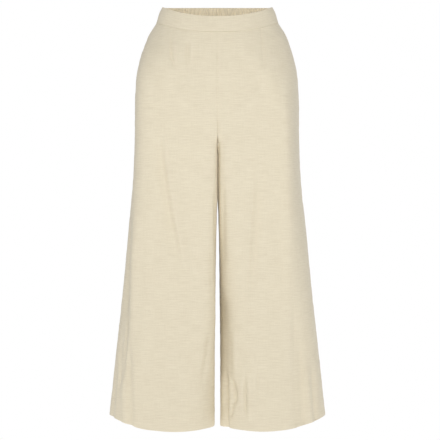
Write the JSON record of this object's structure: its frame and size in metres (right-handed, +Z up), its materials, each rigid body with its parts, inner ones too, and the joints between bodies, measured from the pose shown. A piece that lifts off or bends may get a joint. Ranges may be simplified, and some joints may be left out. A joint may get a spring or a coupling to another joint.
{
  "type": "culottes",
  "caption": "Cropped wide-leg trousers in plain linen-look cloth, with a flat front waistband, an elasticated gathered back waistband, darts and plain turned hems, hollow as worn.",
  "frame": {"origin": "centre of the waist, at the level of the side seams' top, where the wearer holds the garment up", "axes": "+Z up along the garment's length, the front faces -Y, the wearer's left is +X"},
  "size_m": [0.4844, 0.2504, 0.9548],
  "materials": {
    "panel_cloth": "matt linen-look plain weave with slubs",
    "waistband_cloth": "the same cloth, doubled"
  },
  "bodies": {
    "root": {"front_left": "panel_cloth", "front_right": "panel_cloth", "back_left": "panel_cloth", "back_right": "panel_cloth", "waistband_front": "waistband_cloth", "waistband_back": "waistband_cloth"}
  },
  "joints": []
}
